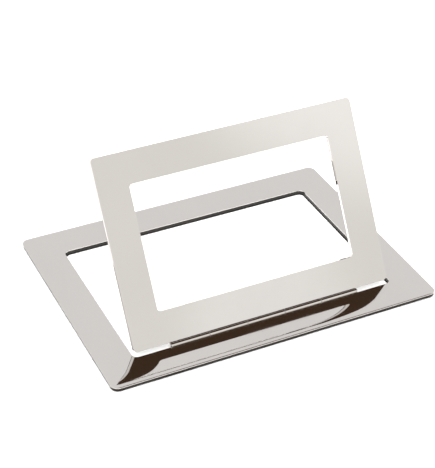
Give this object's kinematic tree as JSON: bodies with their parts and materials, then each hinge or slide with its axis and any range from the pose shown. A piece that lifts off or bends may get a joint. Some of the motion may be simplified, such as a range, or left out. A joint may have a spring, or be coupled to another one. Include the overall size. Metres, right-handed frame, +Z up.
{
  "type": "ink blotter",
  "caption": "Desk ink blotter: a polished steel base frame with a shallow recess for a blotting sheet, and a windowed lid frame on a barrel hinge that holds the sheet down.",
  "frame": {"origin": "middle of the base's outline, on the underside of the backing card that lies on the desk", "axes": "+X along the hinge, +Y from the hinge towards the back of the base, +Z up from the desk"},
  "size_m": [0.3, 0.23, 0.1472],
  "materials": {
    "polished_steel": "mirror polished, warm grey",
    "hinge_steel": "polished",
    "screw_steel": "plain",
    "black_board": "black stained board, satin",
    "black_card": "black grained facing",
    "black_felt": "short black felt",
    "blotting_paper": "soft, matt, fibrous",
    "washer": "matt"
  },
  "bodies": {
    "base": {"base_cover": "polished_steel", "base_core": "black_board", "backing_card": "black_card", "blotting_paper": "blotting_paper", "hinge_base_leaf": "hinge_steel", "base_leaf_screws": "screw_steel", "hinge_pin": "hinge_steel", "friction_washers": "washer"},
    "lid": {"hinge_lid_leaf": "hinge_steel", "lid_leaf_screws": "screw_steel", "lid_cover": "polished_steel", "lid_core": "black_board", "lid_felt": "black_felt"}
  },
  "joints": [
    {"name": "lid_hinge", "type": "hinge", "parent": "base", "child": "lid", "pos_m": [0, -0.0839, 0.0052], "axis": [1, 0, 0], "range_deg": [-60.5, 119.5]}
  ]
}
